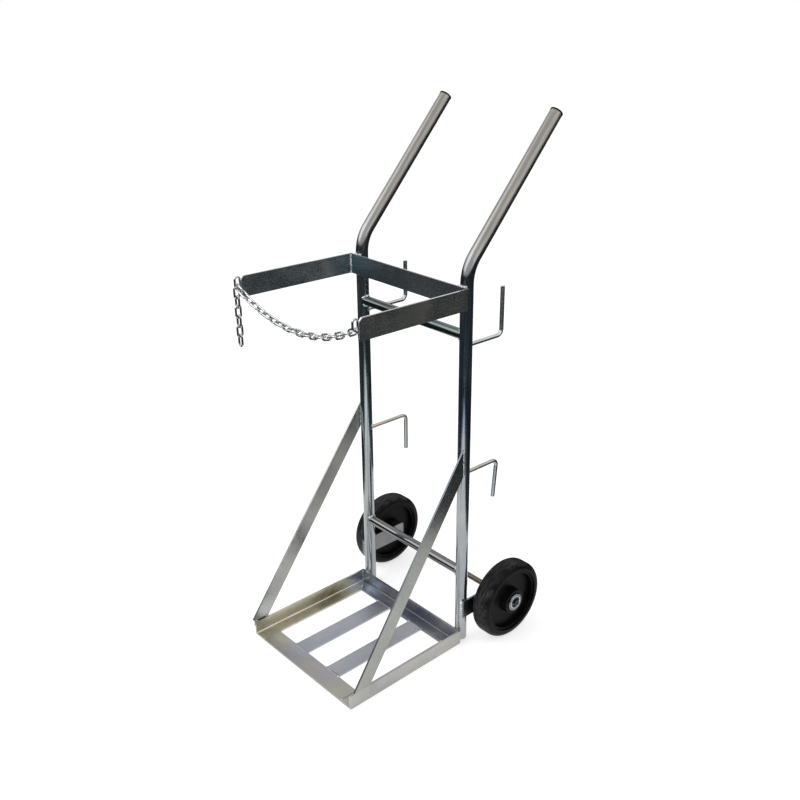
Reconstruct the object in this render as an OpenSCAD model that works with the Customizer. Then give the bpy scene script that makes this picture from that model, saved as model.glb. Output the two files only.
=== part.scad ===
// Gas cylinder trolley, sizes in millimetres.
// X runs to the trolley's right, Y to the back where the wheels are, Z up from the floor.

/* [Uprights] */
// Distance between the centres of the two uprights
upright_spacing = 300; // [280:5:330]
// Outside diameter of the upright tubes
tube_d = 25; // [22:1:28]
// Wall of the upright tubes
tube_wall = 2; // [1.5:0.5:3]
// Height of the open lower end of the uprights
foot_z = 6; // [0:1:12]
// Height where the centre line of the handle meets that of the upright
knee_z = 813; // [805:1:850]
// Centre line radius of the handle bend
bend_r = 75; // [65:5:90]
// Lean of the handles back from the vertical, in degrees
handle_angle = 41.35; // [36:0.05:46]
// Length of the left handle from the knee to the tube end
handle_left_len = 346; // [300:2:380]
// Length of the right handle from the knee to the tube end
handle_right_len = 340; // [300:2:380]

/* [Hoop] */
// Width of the flat bar of the hoop, brackets and base front
flat_w = 40; // [36:1:44]
// Thickness of the flat bar
flat_t = 4; // [3:0.5:5]
// Height of the lower edge of the hoop
hoop_z = 742.5; // [715:0.5:745]
// How far each side of the hoop stands out past the upright
hoop_overhang = 6.5; // [5.5:0.5:12]
// Reach of the hoop's left bar in front of the uprights
hoop_left_reach = 272; // [230:2:280]
// Reach of the hoop's right bar in front of the uprights
hoop_right_reach = 264; // [230:2:280]
// Cut on the top front corner of the side bars
bar_corner = 6; // [3:0.5:10]

/* [Cross tubes] */
// Outside diameter of both cross tubes
cross_d = 20; // [16:1:22]
// Wall of the cross tubes
cross_wall = 2; // [1.5:0.5:3]
// Height of the upper cross tube
upper_cross_z = 686; // [683:0.5:690]
// Height of the lower cross tube
lower_cross_z = 168.5; // [150:0.5:190]

/* [Hooks] */
// Diameter of the hook rods
hook_d = 8.5; // [6:0.5:10]
// Distance of each hook inboard of its upright's centre
hook_inset = 10; // [9:0.5:12]
// Centre line radius of the hook bend
hook_bend_r = 12; // [10:1:16]
// Reach of the upper hooks behind the uprights
upper_hook_reach = 106.5; // [80:0.5:120]
// Height of the arm of the upper left hook
upper_left_hook_z = 668; // [640:0.5:671]
// Height of the arm of the upper right hook
upper_right_hook_z = 661.5; // [640:0.5:671]
// Length of the turned end of the upper left hook
upper_left_hook_tip = 84; // [60:1:110]
// Length of the turned end of the upper right hook
upper_right_hook_tip = 98; // [60:1:110]
// Reach of the lower hooks behind the uprights
lower_hook_reach = 104; // [80:0.5:120]
// Height of the arm of the lower left hook
lower_left_hook_z = 398.5; // [370:0.5:430]
// Height of the arm of the lower right hook
lower_right_hook_z = 390.5; // [370:0.5:430]
// Length of the turned ends of the lower hooks
lower_hook_tip = 83; // [60:1:100]
// Lean of the turned end of the lower right hook, in degrees
lower_right_hook_lean = 5.7; // [0:0.1:10]

/* [Base] */
// Reach of the base tray in front of the uprights
base_reach = 308; // [290:2:330]
// Leg of the base angles
angle_leg = 31; // [28:1:35]
// Thickness of the base angles, front bar and slats
angle_t = 4; // [3:0.5:5]
// Width of the base slats
slat_w = 39; // [30:1:45]
// Distance of each slat's centre from the middle
slat_offset = 52; // [40:1:65]

/* [Braces] */
// Width of the brace bars
brace_w = 32; // [26:1:36]
// Gap between the left brace and the outside of the base angle
brace_gap = 0.5; // [0.3:0.1:2]
// Height of the left brace's lower edge where it meets the upright
left_brace_top_z = 401; // [390:1:415]
// Height of the front corner of the left brace's foot
left_brace_foot_z = 35; // [32:1:40]
// How far the left brace stands out in front of the base
left_brace_ahead = 3; // [0:0.5:6]
// How far the left brace leans in where it meets the upright
left_brace_lean = 4.3; // [2:0.1:6]
// Height of the right brace's lower edge where it meets the upright
right_brace_top_z = 398; // [390:1:415]
// Distance from the front of the base back to the right brace's foot
right_brace_back = 10; // [4:1:24]
// How far the right brace leans in where it meets the upright
right_brace_lean = 2.1; // [1.5:0.1:4]

/* [Axle] */
// Diameter of the axle
axle_d = 12; // [10:0.5:14]
// Distance of the axle behind the uprights
axle_back = 90.6; // [85:0.2:105]
// Length of the brackets behind the axle
bracket_tail = 22.4; // [18:0.2:30]
// Length of the brackets in front of the upright's centre
bracket_nose = 9; // [4:1:12]
// Radius of the corners of the brackets' back end
bracket_corner = 5; // [2:1:10]
// Thickness of the inner washers
inner_washer_t = 2.5; // [1.5:0.5:4]
// Diameter of the washers
washer_d = 38; // [34:1:42]
// Diameter of the sunk middle of the outer washers
washer_dish_d = 26; // [25:0.5:28]
// Thickness of the outer washers at the rim
outer_washer_t = 3; // [2.5:0.1:4]
// Depth of the sunk middle of the outer washers
washer_dish = 1.4; // [0.6:0.1:1.8]
// Length of the axle past each split pin
axle_end = 4.6; // [3:0.2:8]
// Diameter of the split pins
pin_d = 3; // [2.5:0.1:3.2]

/* [Wheels] */
// Diameter of the wheels
wheel_d = 171; // [155:1:176]
// Width of the tyres
tyre_w = 44; // [38:1:46]
// Radius of the tyres' shoulders
shoulder_r = 13; // [8:0.5:16]
// Depth of rubber from the tread down to the wheel centre
tyre_depth = 17; // [16:0.5:20]
// Depth of the wheel centre's rim below the side of the tyre
rim_step = 3.5; // [1:0.5:5]
// Thickness of the rim of the wheel centre
rim_t = 5; // [3:0.5:7]
// Thickness of the web of the wheel centre
web_t = 16; // [10:1:20]
// Length of the hub
hub_len = 50; // [47:0.5:56]
// Diameter of the hub at its ends
hub_d = 52; // [46:1:56]
// Extra radius of the hub where it meets the web
hub_draft = 2; // [1:0.5:4]
// Outside diameter of the bush in the hub
bush_d = 20; // [18:0.5:24]

/* [Chain] */
// Diameter of the chain wire
link_wire = 4; // [3.5:0.1:4.2]
// Inside length of the chain links
link_inner_l = 19.1; // [18:0.1:21]
// Inside width of the chain links
link_inner_w = 6.5; // [6:0.1:7.5]
// Inside length of the anchor links on the hoop
anchor_inner_l = 16.2; // [15:0.2:20]
// Inside width of the anchor links
anchor_inner_w = 6.5; // [6:0.1:7.5]
// How far the anchor links stand above the hoop
anchor_rise = 2; // [0:0.5:4]
// Least extra length of the chain over the straight distance
chain_slack = 0.02; // [0.015:0.001:0.03]

/* [Fits] */
// Gap between the wires of neighbouring chain links
link_gap = 0.3; // [0.25:0.05:0.4]
// Radial running clearance of the wheels on the axle
axle_run = 0.05; // [0.03:0.01:0.08]
// Radial gap between parts bonded or pressed together
bond_gap = 0.2; // [0.15:0.05:0.3]
// Radial clearance of the axle in brackets and washers, and of the pins
hole_gap = 0.2; // [0.1:0.05:0.3]
// Side play between hub, washers and brackets
side_gap = 0.3; // [0.2:0.05:0.5]
// Gap left at a coped or welded end
weld_gap = 0.2; // [0.1:0.05:0.3]

/* [Hidden] */
$fn = 48;
eps = 1;

tube_r = tube_d / 2;
upright_x = upright_spacing / 2;
frame_x = upright_x + tube_r;
knee_tangent = bend_r * tan(handle_angle / 2);
bend_z = knee_z - knee_tangent;
// Where a bend runs on into a leaning straight, the two are parted by this much.
seam = 0.02;

plug_rim = 1.5;
plug_dome = 3;
plug_shank = 18;
plug_r = tube_r - 0.1;

// The row's origin is below the middle of the whole part.
handle_len = max(handle_left_len, handle_right_len);
handle_back = (handle_len + plug_rim) * sin(handle_angle) + plug_r * cos(handle_angle);
up_y = (base_reach + left_brace_ahead - handle_back) / 2;

hoop_x = frame_x + hoop_overhang;
hoop_top = hoop_z + flat_w;
back_face = up_y - tube_r;
base_front = up_y - base_reach;

cross_r = cross_d / 2;
hook_r = hook_d / 2;
hook_x = upright_x - hook_inset;
hook_start = 4;
hook_end = 1;

axle_r = axle_d / 2;
axle_y = up_y + axle_back;
axle_z = wheel_d / 2;
bracket_x = frame_x + flat_t;
inner_washer_x = bracket_x + side_gap;
hub_x = inner_washer_x + inner_washer_t + side_gap;
wheel_x = hub_x + hub_len / 2;
outer_washer_x = hub_x + hub_len + side_gap;
pin_r = pin_d / 2;
pin_x = outer_washer_x + outer_washer_t - washer_dish + weld_gap + pin_r;
axle_x = pin_x + axle_end;
axle_chamfer = 1;
pin_eye_r = 1.9;
pin_eye_wire = 1;
pin_leg_r = 1.1;
pin_leg_len = 4.5;
pin_leg_angle = 35;

wheel_r = wheel_d / 2;
seat_r = wheel_r - tyre_depth;
hub_r = hub_d / 2;
bush_r = bush_d / 2;

wire_r = link_wire / 2;
bow_r = link_inner_w / 2 + wire_r;
link_half = link_inner_l / 2 - link_inner_w / 2;
anchor_bow_r = anchor_inner_w / 2 + wire_r;
anchor_half = anchor_inner_l / 2 - anchor_inner_w / 2;
anchor_x = hoop_x - flat_t / 2;
left_anchor_y = up_y - hoop_left_reach - anchor_bow_r - wire_r;
right_anchor_y = up_y - hoop_right_reach - anchor_bow_r - wire_r;
anchor_z = hoop_top + anchor_rise - wire_r - anchor_bow_r - anchor_half;
anchor_low_z = anchor_z - anchor_half - anchor_bow_r;
pitch = link_inner_l - link_gap;

// The tail's first wire sits in the end of the first link, so the anchor's wire lies further in.
play_r = link_inner_w / 2 - wire_r - link_gap;
tail_seat = 45;
tail_u = -link_half - play_r * cos(tail_seat);
tail_v = -play_r * sin(tail_seat);
wire_step = link_wire + 0.7;
anchor_u = tail_u + wire_step;
first_len = pitch / 2 - anchor_u;
last_len = pitch / 2 + link_inner_l / 2 - wire_r - link_gap;

// The chain hangs in the upright plane through both anchors, where its shape is worked out.
chain_turn = atan((right_anchor_y - left_anchor_y) / (2 * anchor_x));

// An odd number of links reaches across, the fewest that leave the slack asked for.
chain_gap = 2 * anchor_x / cos(chain_turn);
chain_need = chain_gap * (1 + chain_slack) - first_len - last_len;
link_count = 2 * ceil((chain_need / pitch + 1) / 2) + 1;

function link_len(i) = i == 1 ? first_len : i == link_count ? last_len : pitch;
function link_slope(i, pull, low) = atan(pull * (i - low));

// Every link hangs in balance: its slope grows evenly with its distance from the lowest one.
function chain_width(pull, low) =
    sum_of([for (i = [1 : link_count]) link_len(i) * cos(link_slope(i, pull, low))]);
function chain_rise(pull, low) =
    sum_of([for (i = [1 : link_count]) link_len(i) * sin(link_slope(i, pull, low))]);
function sum_of(list, i = 0) = i < len(list) ? list[i] + sum_of(list, i + 1) : 0;
function find_pull(low, a, b, steps) =
    steps == 0 ? (a + b) / 2
    : chain_width((a + b) / 2, low) > chain_gap ? find_pull(low, (a + b) / 2, b, steps - 1)
    : find_pull(low, a, (a + b) / 2, steps - 1);
function find_low(a, b, steps) =
    steps == 0 ? (a + b) / 2
    : chain_rise(find_pull((a + b) / 2, 0, 0.4, 30), (a + b) / 2) > 0
    ? find_low((a + b) / 2, b, steps - 1)
    : find_low(a, (a + b) / 2, steps - 1);

chain_low = find_low(link_count / 2 - 1, link_count / 2 + 3, 30);
chain_pull = find_pull(chain_low, 0, 0.4, 40);
slopes = [for (i = [0 : link_count]) link_slope(i, chain_pull, chain_low)];

function along(slope) = [cos(slope), 0, sin(slope)];
function across(slope) = [-sin(slope), 0, cos(slope)];
function link_centre(i) =
    i == 1 ? -anchor_u * along(slopes[1])
    : link_centre(i - 1) + pitch / 2 * (along(slopes[i - 1]) + along(slopes[i]));

tail_top = link_centre(1) + tail_u * along(slopes[1]) + tail_v * across(slopes[1]);

module on_side(side) {
    if (side > 0) children();
    else mirror([1, 0, 0]) children();
}

module rod_x(r, len) {
    rotate([0, 90, 0])
        cylinder(r = r, h = len);
}

module rod_y(r, len) {
    rotate([-90, 0, 0])
        cylinder(r = r, h = len);
}

// The path of one upright, as a solid rod of the given radius; more is added at both ends.
module upright_path(r, len, more) {
    translate([0, 0, foot_z - more])
        cylinder(r = r, h = bend_z - foot_z + more);
    translate([0, bend_r, bend_z])
        rotate([90, 0, -90])
            rotate_extrude(angle = handle_angle)
                translate([bend_r, 0])
                    circle(r = r);
    translate([0, bend_r * (1 - cos(handle_angle)), bend_z + bend_r * sin(handle_angle)])
        rotate([-handle_angle, 0, 0])
            translate([0, 0, seam])
                cylinder(r = r, h = len - knee_tangent - seam + more);
}

module upright(side, len) {
    color([0.62, 0.64, 0.65])
        translate([side * upright_x, up_y, 0])
            difference() {
                upright_path(tube_r, len, 0);
                upright_path(tube_r - tube_wall, len, eps);
            }
}

module handle_plug(side, len) {
    dome_r = (plug_r * plug_r + plug_dome * plug_dome) / (2 * plug_dome);
    color([0.06, 0.06, 0.06])
        translate([side * upright_x, up_y, knee_z])
            rotate([-handle_angle, 0, 0])
                translate([0, 0, len]) {
                    translate([0, 0, -plug_shank])
                        cylinder(r = tube_r - tube_wall - bond_gap, h = plug_shank);
                    cylinder(r = plug_r, h = plug_rim);
                    translate([0, 0, plug_rim])
                        intersection() {
                            translate([0, 0, plug_dome - dome_r])
                                sphere(r = dome_r, $fn = 96);
                            cylinder(r = plug_r, h = plug_dome + eps);
                        }
                }
}

module cross_tube(z) {
    color([0.6, 0.62, 0.63])
        translate([0, up_y, z])
            difference() {
                translate([-upright_x, 0, 0])
                    rod_x(cross_r, upright_spacing);
                translate([-upright_x - eps, 0, 0])
                    rod_x(cross_r - cross_wall, upright_spacing + 2 * eps);
                for (side = [-1, 1])
                    translate([side * upright_x, 0, -tube_d])
                        cylinder(r = tube_r + weld_gap, h = 2 * tube_d);
            }
}

module hoop_back_bar() {
    color([0.4, 0.43, 0.47])
        translate([-hoop_x, back_face - flat_t, hoop_z])
            cube([2 * hoop_x, flat_t, flat_w]);
}

module hoop_side_bar(side, reach) {
    bar_len = reach - tube_r - flat_t;
    color([0.45, 0.46, 0.45])
        on_side(side)
            translate([hoop_x - flat_t, up_y - reach, hoop_z])
                rotate([90, 0, 90])
                    linear_extrude(height = flat_t)
                        polygon([
                            [0, 0],
                            [bar_len, 0],
                            [bar_len, flat_w],
                            [bar_corner, flat_w],
                            [0, flat_w - bar_corner]
                        ]);
}

// A bent rod from the upright, with its turned end up or down.
module hook(side, z, up, reach, tip, lean = 0) {
    color([0.6, 0.61, 0.62])
        difference() {
            translate([side * hook_x, up_y, z])
                if (up) hook_rod(reach, tip, lean);
                else mirror([0, 0, 1]) hook_rod(reach, tip, lean);
            translate([side * upright_x, up_y, z - tube_d])
                cylinder(r = tube_r + weld_gap, h = 2 * tube_d);
        }
}

module hook_rod(reach, tip, lean) {
    arm = reach - hook_bend_r;
    joint = lean > 0 ? seam : 0;
    translate([0, hook_start, 0])
        rod_y(hook_r, arm - hook_start);
    translate([0, arm, hook_bend_r]) {
        rotate([90, 0, 90])
            rotate([0, 0, -90])
                rotate_extrude(angle = 90 + lean)
                    translate([hook_bend_r, 0])
                        circle(r = hook_r);
        rotate([lean, 0, 0])
            translate([0, hook_bend_r, 0]) {
                translate([0, 0, joint])
                    cylinder(r = hook_r, h = tip - hook_bend_r - hook_end - joint);
                translate([0, 0, tip - hook_bend_r - hook_end])
                    cylinder(r1 = hook_r, r2 = hook_r - hook_end, h = hook_end);
            }
    }
}

module upper_left_hook() {
    hook(-1, upper_left_hook_z, true, upper_hook_reach, upper_left_hook_tip);
}

module upper_right_hook() {
    hook(1, upper_right_hook_z, true, upper_hook_reach, upper_right_hook_tip);
}

module lower_left_hook() {
    hook(-1, lower_left_hook_z, false, lower_hook_reach, lower_hook_tip);
}

module lower_right_hook() {
    hook(1, lower_right_hook_z, false, lower_hook_reach, lower_hook_tip, lower_right_hook_lean);
}

module angle_profile() {
    polygon([
        [0, 0],
        [angle_leg, 0],
        [angle_leg, angle_t],
        [angle_t, angle_t],
        [angle_t, angle_leg],
        [0, angle_leg]
    ]);
}

// What the mitre at the right back corner takes away, from behind it or from in front of it.
module mitre_cut(behind) {
    translate([frame_x, back_face, -eps])
        rotate([0, 0, 45])
            translate([-2 * angle_leg, behind ? 0 : -2 * angle_leg, 0])
                cube([4 * angle_leg, 2 * angle_leg, angle_leg + 2 * eps]);
}

// Side angle of the base, mitred at the back.
module base_side_angle(side) {
    color([0.63, 0.63, 0.57])
        on_side(side)
            difference() {
                translate([frame_x, back_face + eps, 0])
                    rotate([90, 0, 0])
                        mirror([1, 0, 0])
                            linear_extrude(height = base_reach - tube_r + eps)
                                angle_profile();
                mitre_cut(true);
            }
}

module base_back_angle() {
    color([0.42, 0.45, 0.52])
        difference() {
            translate([-frame_x - eps, back_face, 0])
                rotate([90, 0, 90])
                    mirror([1, 0, 0])
                        linear_extrude(height = 2 * (frame_x + eps))
                            angle_profile();
            for (side = [-1, 1])
                on_side(side)
                    mitre_cut(false);
        }
}

module base_front_bar() {
    bar_x = frame_x - angle_leg;
    color([0.62, 0.6, 0.55])
        translate([-bar_x, base_front, 0])
            cube([2 * bar_x, flat_w, angle_t]);
}

module base_slat(side) {
    slat_front = base_front + flat_w;
    slat_back = back_face - angle_leg;
    color([0.6, 0.61, 0.67])
        translate([side * slat_offset - slat_w / 2, slat_front, 0])
            cube([slat_w, slat_back - slat_front, angle_t]);
}

// A brace from its foot up to the round of the upright, leaning in; the foot is cut level or square.
module brace(side, inner_x, lean, top_z, front_y, foot_z, level) {
    reach_in = inner_x - lean - upright_x;
    top_y = -sqrt(tube_r * tube_r - reach_in * reach_in) - weld_gap;
    rise = top_z - foot_z;
    run = top_y - front_y;
    slope = atan2(rise, run) + asin(brace_w / norm([rise, run]));
    depth = brace_w / cos(slope);
    back_y = level ? front_y + brace_w / sin(slope) : front_y + brace_w * sin(slope);
    back_z = level ? foot_z : foot_z - brace_w * cos(slope);
    turn = atan(lean / (top_z + depth / 2 - angle_leg));
    color([0.6, 0.62, 0.58])
        on_side(side)
            translate([inner_x, up_y, angle_leg])
                rotate([0, -turn, 0])
                    translate([0, 0, -angle_leg])
                        rotate([90, 0, 90])
                            linear_extrude(height = flat_t)
                                polygon([
                                    [top_y, top_z],
                                    [top_y, top_z + depth],
                                    [front_y, foot_z],
                                    [back_y, back_z]
                                ]);
}

// The left brace lies against the outside of its angle.
module left_brace() {
    brace(-1, frame_x + brace_gap, left_brace_lean + brace_gap, left_brace_top_z,
        -base_reach - left_brace_ahead, left_brace_foot_z, false);
}

// The right brace stands on the edge of its angle.
module right_brace() {
    brace(1, frame_x - flat_t, right_brace_lean, right_brace_top_z,
        right_brace_back - base_reach, angle_leg + weld_gap, true);
}

module axle_bracket(side) {
    bracket_len = bracket_nose + axle_back + bracket_tail;
    end_y = axle_back + bracket_tail;
    corner_z = flat_w / 2 - bracket_corner;
    color([0.62, 0.63, 0.62])
        on_side(side)
            translate([frame_x, up_y, 0])
                rotate([90, 0, 90])
                    linear_extrude(height = flat_t)
                        difference() {
                            union() {
                                translate([-bracket_nose, axle_z - flat_w / 2])
                                    square([bracket_len - bracket_corner, flat_w]);
                                translate([end_y - bracket_corner - eps, axle_z - corner_z])
                                    square([bracket_corner + eps, 2 * corner_z]);
                                for (end = [-1, 1])
                                    translate([end_y - bracket_corner, axle_z + end * corner_z])
                                        circle(r = bracket_corner);
                            }
                            translate([axle_back, axle_z])
                                circle(r = axle_r + hole_gap);
                        }
}

module axle() {
    color([0.6, 0.58, 0.54])
        translate([0, axle_y, axle_z])
            difference() {
                union() {
                    translate([-axle_x + axle_chamfer, 0, 0])
                        rod_x(axle_r, 2 * (axle_x - axle_chamfer));
                    for (side = [-1, 1])
                        translate([side * (axle_x - axle_chamfer), 0, 0])
                            rotate([0, side * 90, 0])
                                cylinder(r1 = axle_r, r2 = axle_r - axle_chamfer, h = axle_chamfer);
                }
                for (side = [-1, 1])
                    translate([side * pin_x, -axle_d, 0])
                        rod_y(pin_r + hole_gap, 2 * axle_d);
            }
}

module washer_inner(side) {
    color([0.7, 0.71, 0.73])
        translate([side * (inner_washer_x + inner_washer_t / 2), axle_y, axle_z])
            rotate([0, 90, 0])
                difference() {
                    cylinder(r = washer_d / 2, h = inner_washer_t, center = true);
                    cylinder(r = axle_r + hole_gap, h = inner_washer_t + 2 * eps, center = true);
                }
}

module washer_outer(side) {
    dish_t = outer_washer_t - washer_dish;
    edge = 0.8;
    color([0.78, 0.8, 0.82])
        on_side(side)
            translate([outer_washer_x, axle_y, axle_z])
                rotate([0, 90, 0])
                    rotate_extrude()
                        polygon([
                            [axle_r + hole_gap, 0],
                            [washer_d / 2, 0],
                            [washer_d / 2, outer_washer_t - edge],
                            [washer_d / 2 - edge, outer_washer_t],
                            [washer_dish_d / 2, outer_washer_t],
                            [washer_dish_d / 2, dish_t],
                            [axle_r + hole_gap, dish_t]
                        ]);
}

module split_pin(side) {
    eye_y = axle_r + weld_gap + pin_eye_r + pin_eye_wire;
    split_y = -axle_r - weld_gap - pin_r;
    color([0.8, 0.81, 0.82])
        translate([side * pin_x, axle_y, axle_z]) {
            translate([0, split_y, 0])
                rod_y(pin_r, eye_y - pin_eye_r - split_y);
            translate([0, eye_y, 0])
                rotate([0, 90, 0])
                    rotate_extrude()
                        translate([pin_eye_r, 0])
                            circle(r = pin_eye_wire);
            translate([0, split_y, 0])
                sphere(r = pin_r);
            for (turn = [-1, 1])
                translate([0, split_y, 0])
                    rotate([90 + turn * pin_leg_angle, 0, 0])
                        cylinder(r = pin_leg_r, h = pin_leg_len);
        }
}

module turned(side) {
    translate([side * wheel_x, axle_y, axle_z])
        rotate([0, 90, 0])
            rotate_extrude($fn = 128)
                children();
}

module tyre(side) {
    side_w = tyre_w / 2;
    color([0.05, 0.05, 0.05])
        turned(side)
            difference() {
                union() {
                    translate([seat_r, -side_w])
                        square([wheel_r - shoulder_r - seat_r, tyre_w]);
                    translate([wheel_r - shoulder_r, shoulder_r - side_w])
                        square([shoulder_r, tyre_w - 2 * shoulder_r]);
                    for (end = [-1, 1])
                        translate([wheel_r - shoulder_r, end * (side_w - shoulder_r)])
                            circle(r = shoulder_r);
                }
                translate([0, -tyre_w])
                    square([seat_r, 2 * tyre_w]);
            }
}

module wheel_centre(side) {
    rim_w = tyre_w / 2 - rim_step;
    rim_r = seat_r - bond_gap;
    web = web_t / 2;
    color([0.07, 0.07, 0.07])
        turned(side)
            polygon([
                [bush_r + bond_gap, -hub_len / 2],
                [hub_r, -hub_len / 2],
                [hub_r + hub_draft, -web],
                [rim_r - rim_t, -web],
                [rim_r - rim_t, -rim_w],
                [rim_r, -rim_w],
                [rim_r, rim_w],
                [rim_r - rim_t, rim_w],
                [rim_r - rim_t, web],
                [hub_r + hub_draft, web],
                [hub_r, hub_len / 2],
                [bush_r + bond_gap, hub_len / 2]
            ]);
}

module hub_bush(side) {
    color([0.55, 0.53, 0.5])
        translate([side * wheel_x, axle_y, axle_z])
            rotate([0, 90, 0])
                difference() {
                    cylinder(r = bush_r, h = hub_len, center = true);
                    cylinder(r = axle_r + axle_run, h = hub_len + 2 * eps, center = true);
                }
}

// One welded link, standing up in the XZ plane.
module link(half, bow) {
    for (end = [-1, 1]) {
        translate([end * bow, 0, -half])
            cylinder(r = wire_r, h = 2 * half, $fn = 32);
        translate([0, 0, end * half])
            rotate([end * 90, 0, 0])
                rotate_extrude(angle = 180)
                    translate([bow, 0])
                        circle(r = wire_r, $fn = 32);
    }
}

module chain_anchor(side, y) {
    color([0.75, 0.76, 0.77])
        translate([side * anchor_x, y, anchor_z])
            rotate([0, 0, 90])
                link(anchor_half, anchor_bow_r);
}

module in_chain_plane() {
    translate([-anchor_x, left_anchor_y, anchor_low_z])
        rotate([0, 0, chain_turn])
            children();
}

module chain_span() {
    color([0.75, 0.76, 0.77])
        in_chain_plane()
            for (i = [1 : link_count])
                translate(link_centre(i))
                    rotate([0, 90 - slopes[i], 0])
                        rotate([0, 0, i % 2 == 1 ? 0 : 90])
                            link(link_half, bow_r);
}

module chain_tail_link(i) {
    color([0.75, 0.76, 0.77])
        in_chain_plane()
            translate([tail_top[0], 0, tail_top[2] - bow_r - link_half - (i - 1) * pitch])
                rotate([0, 0, i % 2 == 1 ? 90 : 0])
                    link(link_half, bow_r);
}

upright(-1, handle_left_len);  // upright_left
upright(1, handle_right_len);  // upright_right
handle_plug(-1, handle_left_len);  // handle_plug_left
handle_plug(1, handle_right_len);  // handle_plug_right
cross_tube(upper_cross_z);  // upper_cross_tube
cross_tube(lower_cross_z);  // lower_cross_tube
hoop_back_bar();
hoop_side_bar(-1, hoop_left_reach);  // hoop_left_bar
hoop_side_bar(1, hoop_right_reach);  // hoop_right_bar
upper_left_hook();  // hook_upper_left
upper_right_hook();  // hook_upper_right
lower_left_hook();  // hook_lower_left
lower_right_hook();  // hook_lower_right
base_side_angle(-1);  // base_left_angle
base_side_angle(1);  // base_right_angle
base_back_angle();
base_front_bar();
base_slat(-1);  // base_slat_left
base_slat(1);  // base_slat_right
left_brace();  // brace_left
right_brace();  // brace_right
axle_bracket(-1);  // axle_bracket_left
axle_bracket(1);  // axle_bracket_right
axle();
washer_inner(-1);  // washer_inner_left
washer_inner(1);  // washer_inner_right
washer_outer(-1);  // washer_outer_left
washer_outer(1);  // washer_outer_right
split_pin(-1);  // split_pin_left
split_pin(1);  // split_pin_right
tyre(-1);  // tyre_left
tyre(1);  // tyre_right
wheel_centre(-1);  // wheel_centre_left
wheel_centre(1);  // wheel_centre_right
hub_bush(-1);  // hub_bush_left
hub_bush(1);  // hub_bush_right
chain_anchor(-1, left_anchor_y);  // chain_anchor_left
chain_anchor(1, right_anchor_y);  // chain_anchor_right
chain_span();
chain_tail_link(1);  // chain_tail_link_1
chain_tail_link(2);  // chain_tail_link_2
chain_tail_link(3);  // chain_tail_link_3
chain_tail_link(4);  // chain_tail_link_4
chain_tail_link(5);  // chain_tail_link_5
chain_tail_link(6);  // chain_tail_link_6
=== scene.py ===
import math

import bpy
from mathutils import Matrix, Vector, noise


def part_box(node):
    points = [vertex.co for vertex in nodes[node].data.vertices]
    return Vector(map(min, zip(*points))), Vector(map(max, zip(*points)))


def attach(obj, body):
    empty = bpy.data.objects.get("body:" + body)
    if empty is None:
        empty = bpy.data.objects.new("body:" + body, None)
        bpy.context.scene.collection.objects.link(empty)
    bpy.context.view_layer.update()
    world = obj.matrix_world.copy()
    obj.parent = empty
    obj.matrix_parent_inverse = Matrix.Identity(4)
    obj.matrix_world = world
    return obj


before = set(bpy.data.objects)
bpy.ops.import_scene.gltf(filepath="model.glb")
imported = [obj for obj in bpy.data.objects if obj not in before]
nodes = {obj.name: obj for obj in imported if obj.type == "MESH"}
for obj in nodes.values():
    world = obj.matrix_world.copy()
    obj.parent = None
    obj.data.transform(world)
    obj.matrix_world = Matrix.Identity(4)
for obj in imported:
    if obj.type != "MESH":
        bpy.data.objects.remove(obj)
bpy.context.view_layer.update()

MM = 0.001
X, Y, Z = 0, 1, 2
SIDES = ((-1, "left"), (1, "right"))

# Sizes that the boxes of the nodes don't tell.

PLATE = 4 * MM
BRACE_WIDTH = 32 * MM
BRACE_LEAN = math.radians(-36)
HANDLE_LEAN = math.radians(41.35)
AXLE_R = 6 * MM
WASHER_THICK = 3 * MM
WASHER_DISH = 1.4 * MM
WASHER_DISH_R = 13 * MM
PLUG_RIM = 1.5 * MM
PLUG_DOME = 3 * MM


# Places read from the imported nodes, in metres.


def span(node, axis):
    low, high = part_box(node)
    return low[axis], high[axis]


def middle(node, axis):
    low, high = span(node, axis)
    return (low + high) / 2


def top(node):
    return span(node, Z)[1]


def opening_edge(side, name):
    """The inner edge of a side angle's flat leg, where the tray opens."""
    return side * (TUBE_HIGH - top("base_%s_angle" % name))


def brace_slope(name):
    """The slope of a brace above the edge of its angle, in radians."""
    low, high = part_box("brace_%s" % name)
    return math.atan2(high.z - top("base_%s_angle" % name), high.y - low.y)


def lapped_foot():
    """Along Y, the left brace's lowest corner and the place where its back edge leaves the angle."""
    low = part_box("brace_left")[0]
    slope = brace_slope("left")
    back = low.y + BRACE_WIDTH * math.sin(slope)
    leaves = back + (top("base_left_angle") - low.z) / math.tan(slope)
    return back, leaves


TUBE_LOW, TUBE_HIGH = span("upright_right", X)
TUBE_R = (TUBE_HIGH - TUBE_LOW) / 2
TUBE_X = (TUBE_LOW + TUBE_HIGH) / 2
TUBE_Y = span("upright_right", Y)[0] + TUBE_R
BACK_FACE = TUBE_Y - TUBE_R
AXLE_Y = middle("tyre_right", Y)
AXLE_Z = middle("tyre_right", Z)
TYRE_R = AXLE_Z - span("tyre_right", Z)[0]
WALL = TUBE_HIGH - PLATE


# Helpers for meshes. A shape is a pair of points and faces.


def mesh_piece(name, shape, material, smooth=True):
    points, faces = shape
    mesh = bpy.data.meshes.new(name)
    mesh.from_pydata([tuple(p) for p in points], [], faces)
    mesh.polygons.foreach_set("use_smooth", [smooth] * len(mesh.polygons))
    mesh.materials.append(material)
    mesh.update()
    piece = bpy.data.objects.new(name, mesh)
    bpy.context.scene.collection.objects.link(piece)
    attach(piece, "frame")
    return piece


def merge(shapes):
    points = []
    faces = []
    for more_points, more_faces in shapes:
        start = len(points)
        points.extend(more_points)
        faces.extend([tuple(start + i for i in face) for face in more_faces])
    return points, faces


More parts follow.
